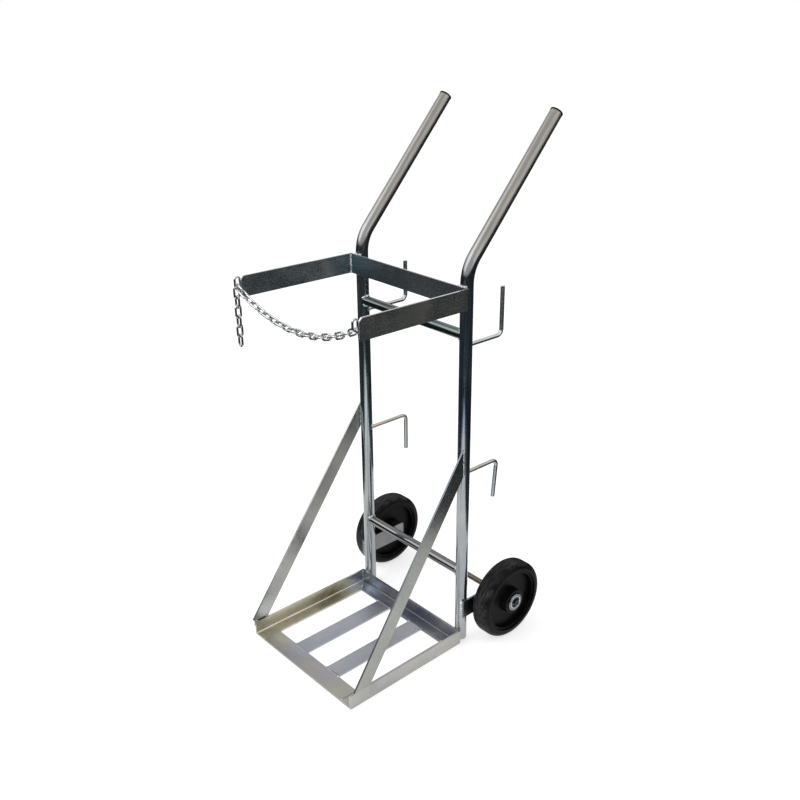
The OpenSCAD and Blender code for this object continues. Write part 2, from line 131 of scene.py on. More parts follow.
def ring_faces(rings, count, closed=False):
    """Quads that join each ring of count points to the next one, and the last to the first where closed."""
    faces = []
    for ring in range(rings if closed else rings - 1):
        start = ring * count
        ahead = (ring + 1) % rings * count
        for k in range(count):
            after = (k + 1) % count
            faces.append((start + k, start + after, ahead + after, ahead + k))
    return faces


def turned_over(quads):
    return [(a, d, c, b) for a, b, c, d in quads]


def end_faces(rings, count):
    """The faces that shut the first and the last ring."""
    return [tuple(reversed(range(count))), tuple(range((rings - 1) * count, rings * count))]


def turns(count):
    """The angles of even steps round a circle, with the first place again at the end."""
    return [2 * math.pi * k / count for k in range(count + 1)]


def straight(a, b, outward):
    out = Vector(outward).normalized()
    return [(Vector(a), out), (Vector(b), out)]


def resample(path, step):
    """Even steps along a line of (point, outward) pairs."""
    result = []
    carried = 0.0
    for (a, out_a), (b, out_b) in zip(path, path[1:]):
        length = (b - a).length
        at = carried
        while at < length:
            t = at / length
            result.append((a.lerp(b, t), out_a.lerp(out_b, t).normalized()))
            at += step
        carried = at - length
    result.append(path[-1])
    return result


BEAD_STEP = 0.00045
BEAD_SIDES = 10
RIPPLE = 0.0021
LUMPS_PER_METRE = 700
WANDER_PER_METRE = 260
BLUNT_END = 0.35


def bead(path, half_width, height, seed, ripple=RIPPLE, closed=False):
    """A weld bead: a low ridge with the ripples that the pool leaves, along (point, outward) pairs."""
    rows = resample(path, BEAD_STEP)
    if closed:
        rows = rows[:-1]
    count = len(rows)
    points = []
    for i, (centre, outward) in enumerate(rows):
        ahead = rows[(i + 1) % count][0] if closed or i + 1 < count else centre
        behind = rows[i - 1][0] if closed or i > 0 else centre
        along = (ahead - behind).normalized()
        out = (outward - along * outward.dot(along)).normalized()
        side = along.cross(out)
        phase = i * BEAD_STEP / ripple
        wave = 1 - (phase % 1.0)
        swell = 0.86 + 0.2 * wave + 0.12 * noise.noise(centre * LUMPS_PER_METRE + Vector((seed, 0, 0)))
        drift = side * half_width * 0.16 * noise.noise(centre * WANDER_PER_METRE + Vector((0, seed, 0)))
        end = 1.0
        if not closed:
            edge = min(i, count - 1 - i) * BEAD_STEP
            end = min(1.0, BLUNT_END + edge / half_width)
        for turn in turns(BEAD_SIDES)[:-1]:
            offset = out * math.cos(turn) * height * swell * end
            offset += side * math.sin(turn) * half_width * swell * end
            points.append(centre + drift + offset)
    faces = ring_faces(count, BEAD_SIDES, closed)
    if not closed:
        faces += end_faces(count, BEAD_SIDES)
    return points, faces


# Helpers for node trees. Most of a noise lies between NOISE_LOW and NOISE_HIGH.

NOISE_LOW = 0.3
NOISE_HIGH = 0.7
MIX_A = 6
MIX_B = 7
MIX_RESULT = 2


def add(tree, kind, **settings):
    made = tree.nodes.new(kind)
    for key, value in settings.items():
        setattr(made, key, value)
    return made


def put(tree, value, socket):
    """Gives a socket a link, a colour or a plain value."""
    if isinstance(value, bpy.types.NodeSocket):
        tree.links.new(value, socket)
    elif socket.type == "RGBA":
        socket.default_value = (*value, 1.0)
    else:
        socket.default_value = value


def new_material(name, kind):
    """A material with a shader of one kind, linked to its output."""
    material = bpy.data.materials.new(name)
    material.use_nodes = True
    tree = material.node_tree
    tree.nodes.clear()
    shader = add(tree, kind)
    output = add(tree, "ShaderNodeOutputMaterial")
    tree.links.new(shader.outputs[0], output.inputs["Surface"])
    return material, tree, shader


def coordinates(tree, kind="Object"):
    return add(tree, "ShaderNodeTexCoord").outputs[kind]


def split(tree, vector):
    """The X, Y and Z outputs of a vector."""
    parts = add(tree, "ShaderNodeSeparateXYZ")
    tree.links.new(vector, parts.inputs["Vector"])
    return parts.outputs


def maths(tree, operation, a, b):
    made = add(tree, "ShaderNodeMath", operation=operation)
    put(tree, a, made.inputs[0])
    put(tree, b, made.inputs[1])
    return made.outputs[0]


def vector_maths(tree, operation, a, b=None):
    made = add(tree, "ShaderNodeVectorMath", operation=operation)
    put(tree, a, made.inputs[0])
    if b is not None:
        put(tree, b, made.inputs[1])
    return made.outputs["Value" if operation in ("LENGTH", "DISTANCE") else "Vector"]


def noise_value(tree, vector, scale, detail, rough, distortion=0.0):
    texture = add(tree, "ShaderNodeTexNoise")
    texture.inputs["Scale"].default_value = scale
    texture.inputs["Detail"].default_value = detail
    texture.inputs["Roughness"].default_value = rough
    texture.inputs["Distortion"].default_value = distortion
    tree.links.new(vector, texture.inputs["Vector"])
    return texture.outputs["Fac"]


def ramp(tree, value, stops):
    made = add(tree, "ShaderNodeValToRGB")
    elements = made.color_ramp.elements
    while len(elements) < len(stops):
        elements.new(0.5)
    for element, (position, colour) in zip(elements, stops):
        element.position = position
        element.color = (*colour, 1.0)
    tree.links.new(value, made.inputs["Fac"])
    return made.outputs["Color"]


def map_range(tree, value, low, high, to_low, to_high):
    made = add(tree, "ShaderNodeMapRange")
    made.inputs["From Min"].default_value = low
    made.inputs["From Max"].default_value = high
    made.inputs["To Min"].default_value = to_low
    made.inputs["To Max"].default_value = to_high
    tree.links.new(value, made.inputs["Value"])
    return made.outputs["Result"]


def mix_colour(tree, factor, a, b):
    made = add(tree, "ShaderNodeMix", data_type="RGBA", blend_type="MIX")
    put(tree, factor, made.inputs[0])
    put(tree, a, made.inputs[MIX_A])
    put(tree, b, made.inputs[MIX_B])
    return made.outputs[MIX_RESULT]


def mix_shader(tree, mix, factor, a, b):
    tree.links.new(factor, mix.inputs[0])
    tree.links.new(a.outputs[0], mix.inputs[1])
    tree.links.new(b.outputs[0], mix.inputs[2])


def bump(tree, height, strength, distance, normal=None):
    made = add(tree, "ShaderNodeBump")
    made.inputs["Strength"].default_value = strength
    made.inputs["Distance"].default_value = distance
    tree.links.new(height, made.inputs["Height"])
    if normal is not None:
        tree.links.new(normal, made.inputs["Normal"])
    return made.outputs["Normal"]


def draw_marks(tree, turn, grain):
    """Marks along the stock. The coordinates are turned before they are stretched, to lie along a slope."""
    rotate = add(tree, "ShaderNodeMapping")
    rotate.inputs["Rotation"].default_value = turn
    stretch = add(tree, "ShaderNodeMapping")
    stretch.inputs["Scale"].default_value = grain
    tree.links.new(coordinates(tree), rotate.inputs["Vector"])
    tree.links.new(rotate.outputs["Vector"], stretch.inputs["Vector"])
    return noise_value(tree, stretch.outputs["Vector"], 1.0, 2.0, 0.5)


def height_mask(tree, low, high):
    """0 below the height low and 1 above the height high."""
    return map_range(tree, split(tree, coordinates(tree))["Z"], low, high, 0.0, 1.0)


def near_mask(tree, point, reach):
    """1 close to a point, fading to 0 at the distance reach."""
    distance = vector_maths(tree, "DISTANCE", coordinates(tree), point)
    return map_range(tree, distance, 0.25 * reach, reach, 1.0, 0.0)


def edge_mask(tree):
    """0 on the faces of a flat bar that stands across X, and 1 on its edges."""
    facing = maths(tree, "ABSOLUTE", split(tree, coordinates(tree, "Normal"))["X"], 0.0)
    return map_range(tree, facing, 0.3, 0.8, 1.0, 0.0)


def pit_mask(tree, strength):
    """Small pits in the plating."""
    spots = add(tree, "ShaderNodeTexVoronoi", feature="F1")
    spots.inputs["Scale"].default_value = 130.0
    tree.links.new(coordinates(tree), spots.inputs["Vector"])
    return map_range(tree, spots.outputs["Distance"], 0.02, 0.12, strength, 0.0)


def shade(tint, factor, cast=0.0):
    """A tint made lighter or darker, and warmer where cast is above 0 or cooler where it is below."""
    red, green, blue = tint
    return red * factor + cast, green * factor, blue * factor - cast


def clouded(tree, value, tint, spread, cast):
    """A colour between a darker, cooler and a lighter, warmer tint."""
    dark = shade(tint, 1 - spread, -cast)
    light = shade(tint, 1 + spread, cast)
    return ramp(tree, value, [(NOISE_LOW, dark), (0.5, tint), (NOISE_HIGH, light)])


def add_stain_and_painted_light(tree, colour, stain_and_painted_light):
    """A colour with one patch on it, ragged at its edge. Some patches are stains and some are painted light
    and shade.
    """
    point, reach, tint = stain_and_painted_light
    ragged = map_range(tree, noise_value(tree, coordinates(tree), 40.0, 3.0, 0.6), 0.3, 0.6, 0.35, 1.0)
    mask = maths(tree, "MULTIPLY", near_mask(tree, point, reach), ragged)
    return mix_colour(tree, mask, colour, tint)


# Kinds of material.

STREAK_BUMP = 0.018
FINE_BUMP = 0.0015


def zinc(name, grain, tint, rough, turn=(0, 0, 0), spread=0.16, cast=0.015, cloud=9.0, pits=0.12, stains_and_painted_light=(),
         grip=None, edge_shade=None):
    """Zinc plated steel. grain stretches the draw marks along the stock, and turn lays them along a slope.

    The plating clouds about the tint: cloud is the scale, spread and cast are how far it goes in light and
    in warmth, and rough is the roughness at both ends. pits is how strongly the pits show. The patches are
    (point, reach, tint): stains where heat or the bath changed it, and painted light and shade where a patch
    stands for a reflection, a highlight or shade. grip gives the height from which a handle is dulled by
    hands, with its own tint, added roughness and turn. The edge tint, where given, is painted on a flat bar's
    edges as painted shade and dark reflection.
    """
    material, tree, shader = new_material(name, "ShaderNodeBsdfPrincipled")
    shader.inputs["Metallic"].default_value = 1.0
    clouds = noise_value(tree, coordinates(tree), cloud, 5.0, 0.6, 0.4)
    streaks = draw_marks(tree, turn, grain)
    colour = clouded(tree, clouds, tint, spread, cast)
    for stain_and_painted_light in stains_and_painted_light:
        colour = add_stain_and_painted_light(tree, colour, stain_and_painted_light)
    roughness = map_range(tree, clouds, NOISE_LOW, NOISE_HIGH, *rough)
    if grip is not None:
        held = height_mask(tree, grip["from"], grip["from"] + grip["fade"])
        lying = draw_marks(tree, grip["turn"], grain)
        above = maths(tree, "MULTIPLY", lying, held)
        below = maths(tree, "MULTIPLY", streaks, maths(tree, "SUBTRACT", 1.0, held))
        streaks = maths(tree, "ADD", below, above)
        colour = mix_colour(tree, held, colour, clouded(tree, lying, grip["tint"], 0.15, cast))
        roughness = maths(tree, "ADD", roughness, maths(tree, "MULTIPLY", held, grip["rough"]))
    # Painted shade: a darker tint on a flat bar's edges, standing for the dark they reflect.
    if edge_shade is not None:
        colour = mix_colour(tree, edge_mask(tree), colour, edge_shade)
    streak_mask = map_range(tree, streaks, 0.35, NOISE_HIGH, 0.0, 0.2)
    colour = mix_colour(tree, streak_mask, colour, shade(tint, 0.72))
    colour = mix_colour(tree, pit_mask(tree, pits), colour, shade(tint, 0.4))
    put(tree, colour, shader.inputs["Base Color"])
    uneven = map_range(tree, streaks, NOISE_LOW, NOISE_HIGH, -0.03, 0.04)
    put(tree, maths(tree, "ADD", roughness, uneven), shader.inputs["Roughness"])
    fine = noise_value(tree, coordinates(tree), 600.0, 2.0, 0.5)
    normal = bump(tree, streaks, STREAK_BUMP, 0.3 * MM)
    put(tree, bump(tree, fine, FINE_BUMP, 0.1 * MM, normal), shader.inputs["Normal"])
    return material


def bead_metal(name):
    """Weld metal: bright drops between dark scale."""
    material, tree, shader = new_material(name, "ShaderNodeBsdfPrincipled")
    shader.inputs["Metallic"].default_value = 1.0
    spots = noise_value(tree, coordinates(tree), 330.0, 4.0, 0.65)
    stops = [(0.38, (0.08, 0.09, 0.11)), (0.48, (0.5, 0.52, 0.55)), (0.6, (0.92, 0.93, 0.94))]
    put(tree, ramp(tree, spots, stops), shader.inputs["Base Color"])
    put(tree, map_range(tree, spots, NOISE_LOW, NOISE_HIGH, 0.46, 0.26), shader.inputs["Roughness"])
    grains = noise_value(tree, coordinates(tree), 1500.0, 3.0, 0.6)
    put(tree, bump(tree, grains, 0.25, 0.3 * MM), shader.inputs["Normal"])
    return material


def rubber(name, base, rough, grain_depth, gloss, wear_and_sheen=None):
    """Black rubber or plastic with dust in it. The optional function gives the mask of a lighter tint:
    scuffs, with a painted highlight where it lies on the tyre's shoulders.
    """
    material, tree, shader = new_material(name, "ShaderNodeBsdfPrincipled")
    dust = noise_value(tree, coordinates(tree), 26.0, 6.0, 0.65, 0.3)
    dusty = tuple(2.1 * c + 0.008 for c in base)
    colour = mix_colour(tree, map_range(tree, dust, 0.45, 0.75, 0.0, 0.55), base, dusty)
    roughness = map_range(tree, dust, NOISE_LOW, NOISE_HIGH, rough - 0.07, rough + 0.1)
    if wear_and_sheen is not None:
        mask = wear_and_sheen(tree)
        colour = mix_colour(tree, mask, colour, SCUFF_AND_SHEEN)
        roughness = maths(tree, "ADD", roughness, maths(tree, "MULTIPLY", mask, 0.25))
    put(tree, colour, shader.inputs["Base Color"])
    put(tree, roughness, shader.inputs["Roughness"])
    shader.inputs["Specular IOR Level"].default_value = gloss
    grain = noise_value(tree, coordinates(tree), 1400.0, 2.0, 0.6)
    normal = bump(tree, grain, grain_depth, 0.15 * MM)
    put(tree, bump(tree, dust, 0.12, 0.6 * MM, normal), shader.inputs["Normal"])
    return material


MARKS_ROUND = 5.0
MARKS_ACROSS = 420.0
SIDE_R = TYRE_R - 9 * MM
SHOULDER_R = TYRE_R - 3 * MM


def tread_wear_and_sheen(tree):
    """Brush marks that run round the tyre, strong on its tread and shoulders and fading down its sides.
    The lighter band is partly real scuffing and partly a painted highlight on the shoulders.
    """
    place = coordinates(tree)
    from_axle = vector_maths(tree, "SUBTRACT", place, (0, AXLE_Y, AXLE_Z))
    flat = vector_maths(tree, "MULTIPLY", from_axle, (0, 1, 1))
    radius = vector_maths(tree, "LENGTH", flat)
    facing = split(tree, vector_maths(tree, "NORMALIZE", flat))
    depth = maths(tree, "ADD", split(tree, place)["X"], radius)
    swirl = add(tree, "ShaderNodeCombineXYZ")
    put(tree, maths(tree, "MULTIPLY", facing["Y"], MARKS_ROUND), swirl.inputs["X"])
    put(tree, maths(tree, "MULTIPLY", facing["Z"], MARKS_ROUND), swirl.inputs["Y"])
    put(tree, maths(tree, "MULTIPLY", depth, MARKS_ACROSS), swirl.inputs["Z"])
    marks = map_range(tree, noise_value(tree, swirl.outputs["Vector"], 1.0, 4.0, 0.6), 0.42, 0.66, 0.0, 1.0)
    patches = map_range(tree, noise_value(tree, place, 22.0, 3.0, 0.6), 0.38, 0.6, 0.4, 1.0)
    tread = map_range(tree, radius, SIDE_R, SHOULDER_R, 0.0, 1.0)
    return maths(tree, "MULTIPLY", tread, maths(tree, "MULTIPLY", marks, patches))


# Noise scales that draw marks out along an axis, or leave them even.

ALONG_X = (20.0, 420.0, 420.0)
ALONG_Y = (420.0, 20.0, 420.0)
ALONG_Z = (420.0, 420.0, 20.0)
EVEN = (400.0, 400.0, 400.0)
CHAIN_GRAIN = (300.0, 300.0, 300.0)

# Places where the plating is stained, and places where light and shade are painted on, each with its reach
# and tint.

FRONT_LOW, FRONT_HIGH = span("base_front_bar", X)
FRONT_Y = middle("base_front_bar", Y)
SLAT_END = FRONT_Y + 14 * MM
SLAT_LEFT_X = middle("base_slat_left", X)
SLAT_RIGHT_X = middle("base_slat_right", X)
HOOP_CORNER = (span("hoop_back_bar", X)[0], BACK_FACE, middle("hoop_back_bar", Z))
TRAY_CORNER = (-WALL, BACK_FACE - PLATE, PLATE)
TRAY_SIDE = (-WALL, BACK_FACE - 0.1, 0.02)
KNEE_Z = 0.802
# The dark tint of the shade painted on the left front of each handle's bend.
KNEE_SHADE = (0.1, 0.11, 0.12)


def knee(side):
    """The left front of a handle's bend."""
    return side * TUBE_X - 0.8 * TUBE_R, TUBE_Y - 0.8 * TUBE_R, KNEE_Z


def hook_tip(hook):
    return middle(hook, X), span(hook, Y)[1], span(hook, Z)[0]


# Painted light on the uprights: the teal patches at mid height paint the colour of the reflection band there,
# and the dark patches on the handles' bends are painted shade.
TUBE_PAINTED_LIGHT = [
    ((-TUBE_X, TUBE_Y, 0.5), 0.2, (0.37, 0.45, 0.48)),
    ((TUBE_X, TUBE_Y, 0.62), 0.22, (0.22, 0.31, 0.43)),
    (knee(-1), 0.036, KNEE_SHADE),
    (knee(1), 0.036, KNEE_SHADE),
]
# A bluish grey tint at the lower hooks' tips.
HOOK_TIP_TINTS = [(hook_tip(hook), 0.11, (0.5, 0.6, 0.66)) for hook in ("hook_lower_left", "hook_lower_right")]
FRONT_STAINS = [
    ((FRONT_LOW, FRONT_Y, PLATE), 0.09, (0.44, 0.42, 0.34)),
    ((FRONT_HIGH, FRONT_Y, PLATE), 0.12, (0.42, 0.42, 0.35)),
    ((SLAT_LEFT_X, SLAT_END, PLATE), 0.05, (0.36, 0.37, 0.42)),
    ((SLAT_RIGHT_X, SLAT_END, PLATE), 0.05, (0.36, 0.36, 0.41)),
]
# At the tray's back corner the blue heat tint is made light enough to paint the highlight on the weld there:
# partly stain, partly painted highlight. The brown patch on the left angle is a stain.
LEFT_ANGLE_STAINS_AND_HIGHLIGHT = [(TRAY_CORNER, 0.075, (0.52, 0.6, 0.68)), (TRAY_SIDE, 0.06, (0.29, 0.26, 0.19))]
BACK_ANGLE_STAINS_AND_HIGHLIGHT = [(TRAY_CORNER, 0.075, (0.44, 0.52, 0.6))]
HOOP_STAINS = [(HOOP_CORNER, 0.11, (0.26, 0.46, 0.57))]

# The finishes of this trolley, piece by piece.

HELD = {"from": 0.79, "fade": 0.08, "turn": (HANDLE_LEAN, 0, 0), "tint": (0.27, 0.255, 0.23), "rough": 0.14}
SLOPING = (BRACE_LEAN, 0, 0)
# A lighter grey for the tyre: scuffs on the tread, and a painted highlight along the shoulders.
SCUFF_AND_SHEEN = (0.083, 0.084, 0.084)

steel_tube = zinc("steel_tube", ALONG_Z, (0.34, 0.36, 0.37), (0.1, 0.18), stains_and_painted_light=TUBE_PAINTED_LIGHT, grip=HELD)
# The cross tubes' dark tints are painted shade and dark reflection on the same zinc as the uprights.
steel_upper_cross = zinc("steel_upper_cross", ALONG_X, (0.13, 0.15, 0.145), (0.08, 0.14))
steel_lower_cross = zinc("steel_lower_cross", ALONG_X, (0.19, 0.185, 0.185), (0.06, 0.12))
steel_upper_rod = zinc("steel_upper_rod", ALONG_Y, (0.62, 0.63, 0.61), (0.2, 0.3))
steel_lower_rod = zinc("steel_lower_rod", ALONG_Y, (0.52, 0.47, 0.41), (0.24, 0.34), stains_and_painted_light=HOOK_TIP_TINTS)
steel_hoop_back = zinc("steel_hoop_back", ALONG_X, (0.4, 0.42, 0.45), (0.2, 0.3),
                       cloud=12.0, pits=0.02, stains_and_painted_light=HOOP_STAINS)
steel_hoop_left = zinc("steel_hoop_left", ALONG_Y, (0.56, 0.6, 0.62), (0.22, 0.32),
                       cloud=14.0, pits=0.02, spread=0.3)
steel_hoop_right = zinc("steel_hoop_right", ALONG_Y, (0.63, 0.6, 0.55), (0.22, 0.32),
                        cloud=12.0, pits=0.03, cast=0.01)
# The left angle's light olive tint is painted reflection: the same zinc, lit by the way it faces.
steel_tray_left = zinc("steel_tray_left", ALONG_Y, (0.52, 0.49, 0.4), (0.24, 0.36),
                       cloud=14.0, spread=0.2, stains_and_painted_light=LEFT_ANGLE_STAINS_AND_HIGHLIGHT)
steel_tray_right = zinc("steel_tray_right", ALONG_Y, (0.38, 0.38, 0.37), (0.24, 0.36))
# The back angle's dark bluish tint is painted shade: the same zinc, shaded by the way it faces.
steel_tray_back = zinc("steel_tray_back", ALONG_X, (0.185, 0.19, 0.215), (0.2, 0.32),
                       cloud=16.0, spread=0.3, stains_and_painted_light=BACK_ANGLE_STAINS_AND_HIGHLIGHT)
steel_tray_front = zinc("steel_tray_front", ALONG_X, (0.38, 0.365, 0.35), (0.26, 0.38),
                        cast=0.03, stains_and_painted_light=FRONT_STAINS)
steel_slat = zinc("steel_slat", ALONG_Y, (0.37, 0.38, 0.42), (0.26, 0.38), cast=0.02)
steel_left_brace = zinc("steel_left_brace", ALONG_Z, (0.43, 0.44, 0.42), (0.22, 0.34), turn=SLOPING)
# The right brace's edges are painted darker: painted shade and dark reflection.
steel_right_brace = zinc("steel_right_brace", ALONG_Z, (0.31, 0.32, 0.3), (0.22, 0.34), turn=SLOPING,
                         edge_shade=(0.13, 0.16, 0.18))
# The bracket's dark tint paints the shade and the black tyre's reflection on its face.
steel_bracket = zinc("steel_bracket", ALONG_Y, (0.19, 0.2, 0.21), (0.26, 0.38), spread=0.3)
axle_steel = zinc("axle_steel", ALONG_X, (0.12, 0.105, 0.08), (0.24, 0.36))
bright_zinc = zinc("bright_zinc", EVEN, (0.2, 0.235, 0.245), (0.12, 0.2))
# Light zinc for the ring round the washers' dish: a painted highlight.
rim_highlight_zinc = zinc("rim_highlight_zinc", EVEN, (0.75, 0.78, 0.8), (0.08, 0.14))
chain_zinc = zinc("chain_zinc", CHAIN_GRAIN, (0.56, 0.57, 0.58), (0.1, 0.22))
steel_root = zinc("steel_root", ALONG_Y, (0.72, 0.67, 0.58), (0.2, 0.3))
steel_back_root = zinc("steel_back_root", ALONG_X, (0.14, 0.145, 0.155), (0.26, 0.36))
# Near-black metal for painted shade: the dark lines in the tray's gaps, and the ring that stands for a groove
# on each washer.
gap_shade = zinc("gap_shade", ALONG_Y, (0.018, 0.02, 0.023), (0.5, 0.6))
weld_metal = bead_metal("weld_metal")
black_coat = rubber("black_coat", (0.0035, 0.0035, 0.0035), 0.25, 0.3, 0.2)
tyre_rubber = rubber("tyre_rubber", (0.0049, 0.0049, 0.005), 0.42, 0.2, 0.08, wear_and_sheen=tread_wear_and_sheen)
centre_plastic = rubber("centre_plastic", (0.0048, 0.0046, 0.0046), 0.4, 0.12, 0.07)
plug_plastic = rubber("plug_plastic", (0.005, 0.0045, 0.004), 0.6, 0.12, 0.0)

FINISHES = {
    "upright": steel_tube,
    "handle_plug": plug_plastic,
    "upper_cross": steel_upper_cross,
    "lower_cross": steel_lower_cross,
    "hoop_back": steel_hoop_back,
    "hoop_left": steel_hoop_left,
    "hoop_right": steel_hoop_right,
    "hook_upper": steel_upper_rod,
    "hook_lower": steel_lower_rod,
    "base_back": steel_tray_back,
    "base_front": steel_tray_front,
    "base_slat": steel_slat,
    "base_left": steel_tray_left,
    "base_right": steel_tray_right,
    "brace_left": steel_left_brace,
    "brace_right": steel_right_brace,
    "axle_bracket": steel_bracket,
    "axle": axle_steel,
    "washer": bright_zinc,
    "split_pin": bright_zinc,
    "tyre": tyre_rubber,
    "wheel_centre": centre_plastic,
    "hub_bush": axle_steel,
    "chain": chain_zinc,
}
SQUARE_EDGED = ("hoop_", "base_", "brace", "axle_bracket")
EDGE_BEVEL = 0.45 * MM
BEVEL_ANGLE = math.radians(50)


def finish_for(name):
    """The finish of the first entry that the node's name starts with."""
    return next(material for start, material in FINISHES.items() if name.startswith(start))


def dress_nodes():
    for name, node in nodes.items():
        node.data.materials.clear()
        node.data.materials.append(finish_for(name))
        if name.startswith(SQUARE_EDGED):
            bevel = node.modifiers.new("edges", "BEVEL")
            bevel.width = EDGE_BEVEL
            bevel.segments = 2
            bevel.limit_method = "ANGLE"
            bevel.angle_limit = BEVEL_ANGLE


dress_nodes()


# Weld beads. For each kind, half its width and its height in millimetres, and the seed of its noise.

BEADS = {
    "cross_top": (3.22, 2.76, 111),
    "cross_under": (2.8, 2.4, 273),
    "hook": (1.9, 1.7, 21),
    "hoop_top": (3.2, 2.8, 31),
    "hoop_under": (2.8, 2.4, 33),
    "hoop_corner": (3.2, 2.2, 41),
    "hoop_end": (1.9, 1.5, 45),
    "anchor": (1.5, 1.3, 51),
    "bracket": (2.6, 1.8, 61),
    "bracket_flow": (3.0, 0.8, 65),
    "brace_outside": (2.5, 1.7, 71),
    "brace_inside": (1.7, 1.7, 71),
    "standing_foot": (1.9, 1.4, 73),
    "standing_toe": (2.2, 1.9, 75),
    "lapped_under": (2.2, 1.9, 76),
    "lapped_behind": (1.7, 1.4, 77),
    "drip": (2.0, 1.5, 78),
    "front_tack": (1.6, 1.5, 79),
    "back_tack": (1.6, 1.5, 80),
    "mitre": (2.0, 1.3, 81),
    "front_spot": (1.8, 0.8, 83),
    "slat_toe": (2.2, 2.0, 89),
    "slat_lump": (2.4, 1.2, 93),
    "upright_foot": (2.4, 1.8, 91),
    "front_seam": (1.3, 0.22, 101),
    "slat_seam": (1.4, 0.3, 103),
    "brace_seam": (1.6, 0.15, 107),
    "brace_line": (1.1, 0.3, 111),
    "front_line": (0.45, 0.28, 112),
    "slat_line": (0.7, 0.4, 113),
    "washer_lip": (0.9, 0.6, 121),
    "washer_groove": (0.5, 0.12, 122),
}
UP = (0, 0, 1)
ARC_STEPS = 12
HOOK_STEPS = 32
ACROSS_STEPS = 8
ROOT_DEPTH = 4 * MM
CROSS_TOP_ARC = (100, 55)
CROSS_UNDER_ARC = (262, 48)
SLOW_RIPPLE = 0.0045
FLOW_RIPPLE = 0.0034


def weld(kind, path, shift=0, **more):
    """A bead of one kind, with its seed moved by shift so that no two look alike."""
    half_width, height, seed = BEADS[kind]
    return bead(path, half_width * MM, height * MM, seed + shift, **more)


def tube_depth(offset):
    """Half the depth of an upright at a distance from its axis."""
    return math.sqrt(TUBE_R ** 2 - offset ** 2)


def saddle(side, tube, arc):
    """Where a cross tube meets an upright. arc is its middle and its reach, in degrees from the back."""
    low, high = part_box(tube)
    centre_z = (low.z + high.z) / 2
    radius = (high.z - low.z) / 2
    middle_turn, reach = arc
    path = []
    for k in range(2 * ARC_STEPS + 1):
        turn = math.radians(middle_turn + reach * (k / ARC_STEPS - 1))
        y = radius * math.cos(turn)
        place = Vector((side * (TUBE_X - tube_depth(y)), TUBE_Y + y, centre_z + radius * math.sin(turn)))
        outward = Vector((-side * 0.8, math.cos(turn), math.sin(turn)))
        path.append((place, outward.normalized()))
    return path


def hook_root(hook, up):
    """Where a hook's rod meets its upright."""
    low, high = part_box(hook)
    radius = (high.x - low.x) / 2
    centre_x = (low.x + high.x) / 2
    centre_z = low.z + radius if up else high.z - radius
    path = []
    for turn in turns(HOOK_STEPS):
        x = centre_x + radius * math.cos(turn)
        reach = TUBE_R ** 2 - (abs(x) - TUBE_X) ** 2
        y = math.sqrt(max(reach, ROOT_DEPTH ** 2))
        outward = Vector((math.cos(turn), 0.8, math.sin(turn)))
        path.append((Vector((x, TUBE_Y + y, centre_z + radius * math.sin(turn))), outward.normalized()))
    return path


def across_tube(side, z, half, way):
    """A short line across the front of an upright, on the edge of the hoop's back bar, facing up or down."""
    path = []
    for k in range(ACROSS_STEPS + 1):
        offset = half * (2 * k / ACROSS_STEPS - 1)
        place = Vector((side * TUBE_X + offset, BACK_FACE + (TUBE_R - tube_depth(offset)), z))
        path.append((place, Vector((0, -0.5, way)).normalized()))
    return path


def cross_tube_welds(side):
    parts = []
    for shift, tube in enumerate(("upper_cross_tube", "lower_cross_tube")):
        parts.append(weld("cross_top", saddle(side, tube, CROSS_TOP_ARC), shift + side))
        parts.append(weld("cross_under", saddle(side, tube, CROSS_UNDER_ARC), shift + side))
    return parts


def hook_welds(side, name):
    parts = []
    for level, up in (("upper", True), ("lower", False)):
        root = hook_root("hook_%s_%s" % (level, name), up)
        parts.append(weld("hook", root, side + up, closed=True))
    return parts


def hoop_welds(side, name):
    """Beads over and under the back bar, in its corner, and down the open end of the side bar."""
    back_low, back_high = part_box("hoop_back_bar")
    low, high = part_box("hoop_%s_bar" % name)
    inner, outer = sorted((low.x, high.x), key=abs)
    corner = straight((inner, high.y, back_low.z + 1 * MM), (inner, high.y, back_high.z - 1 * MM),
                      (-side, -1, 0))
    end_x = (inner + outer) / 2
    end = straight((end_x, low.y, low.z + 5 * MM), (end_x, low.y, high.z - 5 * MM), (0, -1, 0))
    parts = [
        weld("hoop_top", across_tube(side, back_high.z, 9.5 * MM, 1), side),
        weld("hoop_under", across_tube(side, back_low.z, 8 * MM, -1), side),
        weld("hoop_corner", corner, side),
        weld("hoop_end", end, side, ripple=SLOW_RIPPLE),
    ]
    anchor_z = middle("chain_anchor_%s" % name, Z)
    y = low.y - 0.6 * MM
    for face, lean in ((inner, -side), (outer, side)):
        x = face - lean * 0.8 * MM
        beside = straight((x, y, anchor_z - 6 * MM), (x, y, anchor_z + 4 * MM), (lean, -1, 0))
        parts.append(weld("anchor", beside, side + lean))
    return parts


def bracket_welds(side, name):
    """Beads along both faces of the axle's bracket, and a broad flow in front of it."""
    low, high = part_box("axle_bracket_%s" % name)
    reach = 7.2 * MM
    x = side * (TUBE_X + tube_depth(reach) + 0.8 * MM)
    parts = []
    for way in (-1, 1):
        y = TUBE_Y + way * reach
        along = straight((x, y, low.z + 1 * MM), (x, y, high.z - 1 * MM), (0.2 * side, way, 0))
        parts.append(weld("bracket", along, side + way))
    spread = 8.6 * MM
    x = side * (TUBE_X + tube_depth(spread) + 0.3 * MM)
    y = TUBE_Y - spread
    flow = straight((x, y, low.z + 2 * MM), (x, y, high.z + 1 * MM), (side, -0.9, 0))
    parts.append(weld("bracket_flow", flow, side, ripple=FLOW_RIPPLE))
    return parts


